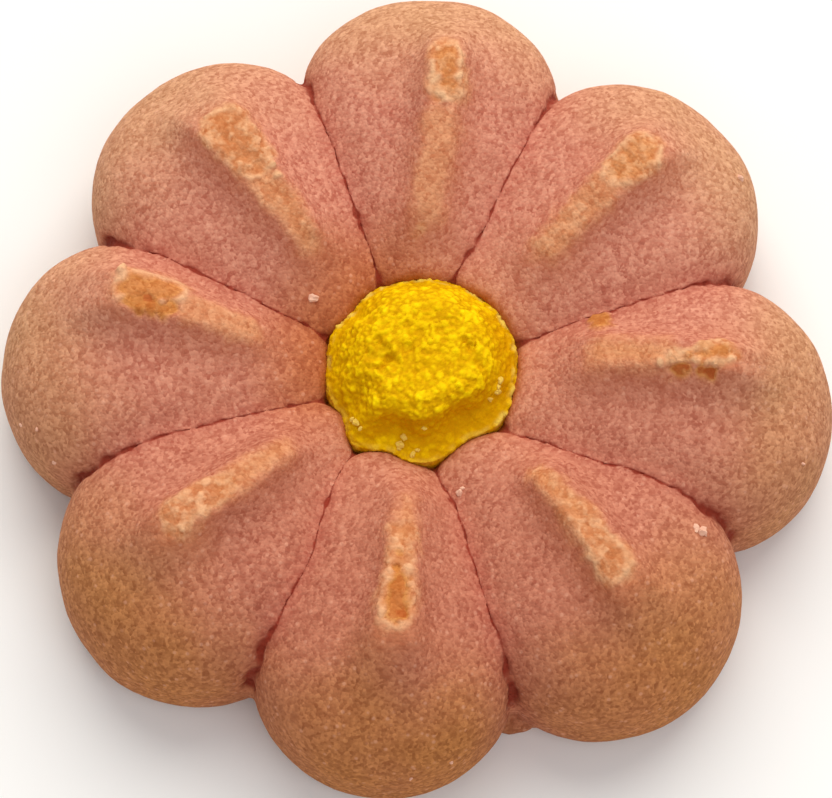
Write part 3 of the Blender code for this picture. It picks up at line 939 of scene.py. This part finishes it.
# the top's plain form: a soft dome, with a golden rim and a steep step on the near side
wavy = radius + 0.09 * rough(points, size=1.5, seed=28) + 0.06 * rough(points, size=0.6, seed=29)
lip_edge = RING_RADIUS - LIP_WIDTH
rim_share = np.clip((lip_edge - wavy) / (lip_edge - STEP_FOOT), 0.0, 1.0)
share = np.clip((RING_RADIUS - wavy) / (RING_RADIUS - GENTLE_RADIUS), 0.0, 1.0)
gentle = DOME_FOOT + (PLATEAU_HEIGHT - DOME_FOOT) * np.sin(pi / 2.0 * share)
stepped = SHOULDER_HEIGHT + SHOULDER_RISE * rim_share
stepped += (gentle - stepped) * smooth_step(STEP_FOOT, PLATEAU_RADIUS, wavy)
toward = STEP_TURN * np.cos(bearing) - np.sin(bearing)
near_share = smooth_step(*NEAR_SIDE, toward)
plain = gentle + (stepped - gentle) * near_share
top_side = (points[:, 2] > SHOULDER_HEIGHT - 0.45) & (radius < RING_RADIUS + 0.2)
points[top_side, 2] = plain[top_side]
outermost = smooth_step(RING_RADIUS - LIP_SPREAD_FROM, RING_RADIUS - 0.1, radius)
spread_out = LIP_SPREAD * outermost * (points[:, 2] > LIP_SPREAD_HEIGHT)
points[:, 0] += np.cos(bearing) * spread_out
points[:, 1] += np.sin(bearing) * spread_out
set_points(centre.data, points)
relax = centre.modifiers.new("relax", "SMOOTH")
relax.factor = 0.5
relax.iterations = 4
apply_all(centre)

# the top's relief: a sponge of crumbs inside, smaller crumbs on the rim and the lip, all in mm
SPONGE_RADIUS = 4.30
FAR_SPONGE_REACH = 1.00
LEFT_SPONGE_LOSS = 0.30
COARSE_SPONGE = 0.52
FINE_SPONGE = 0.30
SPONGE_CRUMBS = 0.15
SPONGE_LUMPS = 0.06
SPONGE_GRAIN = 0.05
SHOULDER_CRUMBS = 0.13
SHOULDER_LUMPS = 0.05
LIP_RISE = 0.02
LIP_CRUMBS = 0.14
WALL_SPAN = (3.7, 4.1)
RIGHT_SIDE = radians(-22.0)
RIGHT_INNER = (4.0, 4.6)
RIGHT_OUTER = (5.7, 5.2)
LIP_SIDE = radians(-25.0)
points = get_points(centre.data)
normals = get_normals(centre.data)
on_top = smooth_step(6.2, 7.0, points[:, 2])
sponge_end = SPONGE_RADIUS + FAR_SPONGE_REACH * smooth_step(0.80, 0.0, toward)
sponge_end -= LEFT_SPONGE_LOSS * smooth_step(0.5, 1.0, -np.cos(bearing))
sponge = smooth_step(sponge_end + 0.45, sponge_end - 0.55, wavy) * on_top

# painted shade: the step's wall and the right side darkened to deep gold; and the pale lip,
# fainter on the near left
wall_shade = smooth_step(STEP_FOOT + 0.5, STEP_FOOT + 0.1, wavy) * smooth_step(*WALL_SPAN, wavy)
wall_shade *= near_share
right_shade = smooth_step(0.3, 0.9, np.cos(bearing - RIGHT_SIDE))
right_shade *= smooth_step(*RIGHT_INNER, wavy) * smooth_step(*RIGHT_OUTER, wavy)
wall_shade = np.maximum(wall_shade, 0.8 * right_shade)
lip = smooth_step(RING_RADIUS - 0.42, RING_RADIUS - 0.20, radius) * on_top
lip *= smooth_step(-0.7, 0.2, np.sin(bearing - LIP_SIDE)) + 0.25
lip *= smooth_step(-0.30, 0.35, rough(points, size=0.55, seed=25))

coarse_dome, coarse_height = crumbly(points, COARSE_SPONGE, seed=21)
fine_dome, fine_height = crumbly(points, FINE_SPONGE, seed=22)
crumbs = 0.45 * (coarse_dome - 0.5) + 0.35 * (coarse_height - 0.5)
crumbs += 0.30 * (fine_dome - 0.5) + 0.25 * (fine_height - 0.5)
lumps = rough(points, size=1.1, seed=23)
shift = SPONGE_CRUMBS * crumbs + SPONGE_LUMPS * lumps
shift += SPONGE_GRAIN * rough(points, size=0.42, seed=26)
shift *= sponge
outside = SHOULDER_CRUMBS * crumbs + SHOULDER_LUMPS * rough(points, size=0.9, seed=24)
shift += (1.0 - sponge) * on_top * outside
shift += lip * (LIP_RISE + LIP_CRUMBS * crumbs)
points += normals * shift[:, None]

# holes with ragged edges in the sponge
HOLLOW_EDGE = (0.4, 1.2)
hollow = np.zeros(len(points))
for x, y, size, depth in HOLLOWS:
    apart = np.hypot(points[:, 0] - x, points[:, 1] - y) / size
    apart += 0.6 * rough(points, size=0.45, seed=27)
    spot = (1.0 - smooth_step(*HOLLOW_EDGE, apart)) * sponge
    points[:, 2] -= depth * spot
    hollow = np.maximum(hollow, spot)
set_points(centre.data, points)

# what the material reads
store(centre.data, "sponge", sponge)
# painted light and shade: higher crumbs lighter, lower ones darker
store(centre.data, "crumb_light", 0.5 + 0.9 * crumbs + 0.25 * lumps)
# painted shade: darker between the crumbs and in the holes
crumb_gap_shade = np.clip(-2.2 * crumbs - 0.25, 0.0, 1.0)
store(centre.data, "pit", np.maximum(crumb_gap_shade, 0.6 * hollow) * sponge)
store(centre.data, "wall_shade", wall_shade)
store(centre.data, "lip", lip)
deselect_all()
centre.select_set(True)
bpy.context.view_layer.objects.active = centre
bpy.ops.object.shade_smooth_by_angle(angle=radians(DOUGH_CREASE))

# Baked yellow butter dough: the same dough with yellow colouring, moister, with painted shade in
# deep gold on the step and the right side, crumb tops painted lighter, and pale crumbs along the
# lip
yellow, tree, shader = new_material(
    "baked_yellow_butter_dough", roughness=0.7, specular=0.04, ior=1.45
)
tone, bump = sandy(
    tree,
    sand_sizes=(0.26, 0.50),
    mottle_size=0.8,
    mottle_look=(2.0, 0.5),
    mottle_span=(0.25, 0.75),
    tones=(0.35, 0.25, 0.40),
    heights=(-1.0, -1.4, 1.0),
    bump_look=(0.5, 0.10),
)[:2]

# its tone goes by sand grain and, as painted light and shade, by how high each crumb stands, in
# about equal shares
flesh = lay_over(tree, "#dfa600", "#ffd800", tone)
flesh_crumb_light = lay_over(tree, "#d29800", "#ffdc0a", "crumb_light", low=0.20, high=0.85, soft=True)
side = lay_over(tree, "#cc9200", "#f2c200", tone)
side_crumb_light = lay_over(tree, "#c48800", "#f6c800", "crumb_light", low=0.20, high=0.85, soft=True)
flesh, side = [
    add_node(
        tree, "ShaderNodeMix", {"data_type": "RGBA"}, {0: share, 6: by_grain, 7: by_crumb}
    ).outputs[2]
    for share, by_grain, by_crumb in ((0.62, flesh, flesh_crumb_light), (0.5, side, side_crumb_light))
]
# painted shade between the crumbs and in the holes
flesh = lay_over(tree, flesh, "#bc8200", "pit", 0.75)
flesh = lay_over(tree, side, flesh, "sponge")
# painted shade: deep gold on the step's wall and the right side
flesh = lay_over(tree, flesh, "#cf8c00", "wall_shade", 0.60)
flesh = lay_over(tree, flesh, "#ebcb5c", "lip", 0.75)
tree.links.new(flesh, shader.inputs["Base Color"])
tree.links.new(bump.outputs[0], shader.inputs["Normal"])
centre.data.materials.clear()
centre.data.materials.append(yellow)
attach(centre, "root")
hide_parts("centre")


# Loose crumbs: grains of baked dough and sugar that fell on the flower and stuck, pale on the
# petals and yellow round the ring.


CRUMB_SQUASH = (1.0, 0.8, 0.7)
CRUMB_LUMPS = 0.7
CRUMB_TURN = 2.4
CRUMB_LIFT = 0.05
CRUMB_CREASE = 20.0
ABOVE_ALL = 50.0


def scatter(name, places, floor, seed):
    """Small uneven crumbs, each place given as x, y and radius in mm, set into the dough below."""
    crumbs = []
    for index, (x, y, size) in enumerate(places):
        above = Vector((x, y, ABOVE_ALL)) * MM
        spot = floor.ray_cast(above, Vector((0.0, 0.0, -1.0)))[1]
        deselect_all()
        bpy.ops.mesh.primitive_ico_sphere_add(subdivisions=2, radius=size * MM, location=(0, 0, 0))
        crumb = bpy.context.object
        shape = get_points(crumb.data)
        lumps = 1.0 + CRUMB_LUMPS * rough(shape + index * 3.1, size * 0.9, seed)
        shape *= lumps[:, None] * np.array(CRUMB_SQUASH)
        turn = index * CRUMB_TURN
        turned = np.stack([
            shape[:, 0] * cos(turn) - shape[:, 1] * sin(turn),
            shape[:, 0] * sin(turn) + shape[:, 1] * cos(turn),
            shape[:, 2],
        ], 1)
        lift = np.array((0.0, 0.0, size * CRUMB_LIFT))
        set_points(crumb.data, turned + np.array(spot) / MM + lift)
        crumbs.append(crumb)
    deselect_all()
    for crumb in crumbs:
        crumb.select_set(True)
    piece = crumbs[0]
    bpy.context.view_layer.objects.active = piece
    bpy.ops.object.join()
    piece.name = name
    piece.data.name = name
    bpy.ops.object.shade_smooth_by_angle(angle=radians(CRUMB_CREASE))
    return piece


def mottled(tree, size_mm, dark, light, detail=2.0):
    """A colour that wanders between two, in lumps of that many millimetres."""
    place = add_node(tree, "ShaderNodeTexCoord").outputs["Object"]
    lumps = add_node(
        tree,
        "ShaderNodeTexNoise",
        None,
        {"Vector": place, "Scale": 1.0 / (size_mm * MM), "Detail": detail, "Roughness": 0.5},
    )
    return lay_over(tree, dark, light, lumps.outputs["Fac"])


# each crumb's x, y and radius in mm, and the size of the mottle on all of them
CRUMB_GRAIN = 0.3
PALE_CRUMBS = (
    (-5.86, 3.94, 0.30), (16.07, -10.40, 0.34), (15.75, -10.25, 0.22), (2.49, -7.71, 0.24),
    (2.65, -7.50, 0.15), (18.84, 11.61, 0.26), (-22.60, -3.27, 0.14), (-21.59, -3.85, 0.14),
    (-20.61, -5.54, 0.15), (22.00, -5.88, 0.13), (1.96, -23.00, 0.14), (-0.28, -23.80, 0.14),
)
crumbs = scatter("pale_crumbs", PALE_CRUMBS, petals, seed=31)

# Sugar and flour grains, off-white to pink, half sunk in the dough
pale, tree, shader = new_material("pale_sugar_crumbs", roughness=0.8, specular=0.25)
tree.links.new(mottled(tree, CRUMB_GRAIN, "#dc9c80", "#f0c8ae"), shader.inputs["Base Color"])
crumbs.data.materials.append(pale)
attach(crumbs, "root")

GOLD_CRUMBS = (
    (-0.91, -4.72, 0.27), (-0.70, -4.40, 0.20), (-0.95, -4.98, 0.17), (-0.20, -5.35, 0.20),
    (0.10, -5.10, 0.16), (0.45, -4.15, 0.16), (4.80, -1.20, 0.20), (4.70, -1.55, 0.15),
    (4.63, -1.81, 0.20), (4.22, -2.24, 0.17), (-3.40, -3.60, 0.22), (-3.62, -3.35, 0.17),
    (-3.15, -3.95, 0.15),
)
crumbs = scatter("yellow_crumbs", GOLD_CRUMBS, centre, seed=37)

# Crumbs of the yellow dough, paler than its top because they dried in the oven
gold, tree, shader = new_material("pale_yellow_crumbs", roughness=0.8, specular=0.2)
tree.links.new(mottled(tree, CRUMB_GRAIN, "#d9ab2a", "#efcf66"), shader.inputs["Base Color"])
crumbs.data.materials.append(gold)
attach(crumbs, "root")


# Table: a plain pale laminate top that the cookie lies on, so wide that its edges stay out of the
# picture. It is only there to catch the soft shadow.

TABLE_WIDTH = 1200.0
LAMINATE_MOTTLE = 40.0
deselect_all()
bpy.ops.mesh.primitive_plane_add(size=TABLE_WIDTH * MM, location=(0.0, 0.0, 0.0))
table = bpy.context.object
table.name = "table_top"

# Matt white laminate: even and dull, a touch warm
laminate, tree, shader = new_material("matt_white_laminate", roughness=0.9, specular=0.1)
tabletop = mottled(tree, LAMINATE_MOTTLE, "#f4f3f1", "#f8f7f5", detail=1.0)
tree.links.new(tabletop, shader.inputs["Base Color"])
table.data.materials.append(laminate)


# Light and camera: one broad soft lamp from the far side, as in the photograph, a weak cool fill
# from the near side and a pale room. The camera looks down from the near side, 70 degrees up.


def add_area(name, place, size, watts, tone):
    """A round lamp that faces the cookie, with its place and size in metres."""
    lamp = bpy.data.lights.new(name, "AREA")
    lamp.shape = "DISK"
    lamp.size = size
    lamp.energy = watts
    lamp.color = colour(tone)[:3]
    item = bpy.data.objects.new(name, lamp)
    bpy.context.scene.collection.objects.link(item)
    item.location = place
    item.rotation_euler = (-Vector(place)).to_track_quat("-Z", "Y").to_euler()


add_area("key_light", place=(0.06, 0.50, 0.50), size=0.90, watts=5.8, tone="#fffaf2")
add_area("fill_light", place=(0.2, -0.35, 0.5), size=0.6, watts=1.0, tone="#f4f8ff")
room = bpy.data.worlds.new("pale_room")
room.use_nodes = True
backdrop = room.node_tree.nodes["Background"]
backdrop.inputs["Color"].default_value = colour("#f4f4f4")
backdrop.inputs["Strength"].default_value = 0.50
bpy.context.scene.world = room
bpy.context.scene.view_settings.view_transform = "Standard"
bpy.context.scene.view_settings.look = "None"

ELEVATION = radians(70.0)
DISTANCE = 0.25
PIXELS_PER_METRE = 17300.0
FRAME_WIDTH = 832
SENSOR_WIDTH = 36.0
AIM = (0.0, -1.0, 4.5)
lens = bpy.data.cameras.new("camera")
lens.sensor_width = SENSOR_WIDTH
lens.lens = PIXELS_PER_METRE * DISTANCE / FRAME_WIDTH * SENSOR_WIDTH
lens.clip_start = 0.01
lens.clip_end = 10.0
camera = bpy.data.objects.new("camera", lens)
bpy.context.scene.collection.objects.link(camera)
aim = Vector(AIM) * MM
camera.location = aim + DISTANCE * Vector((0.0, -cos(ELEVATION), sin(ELEVATION)))
camera.rotation_euler = (pi / 2.0 - ELEVATION, 0.0, 0.0)
bpy.context.scene.camera = camera
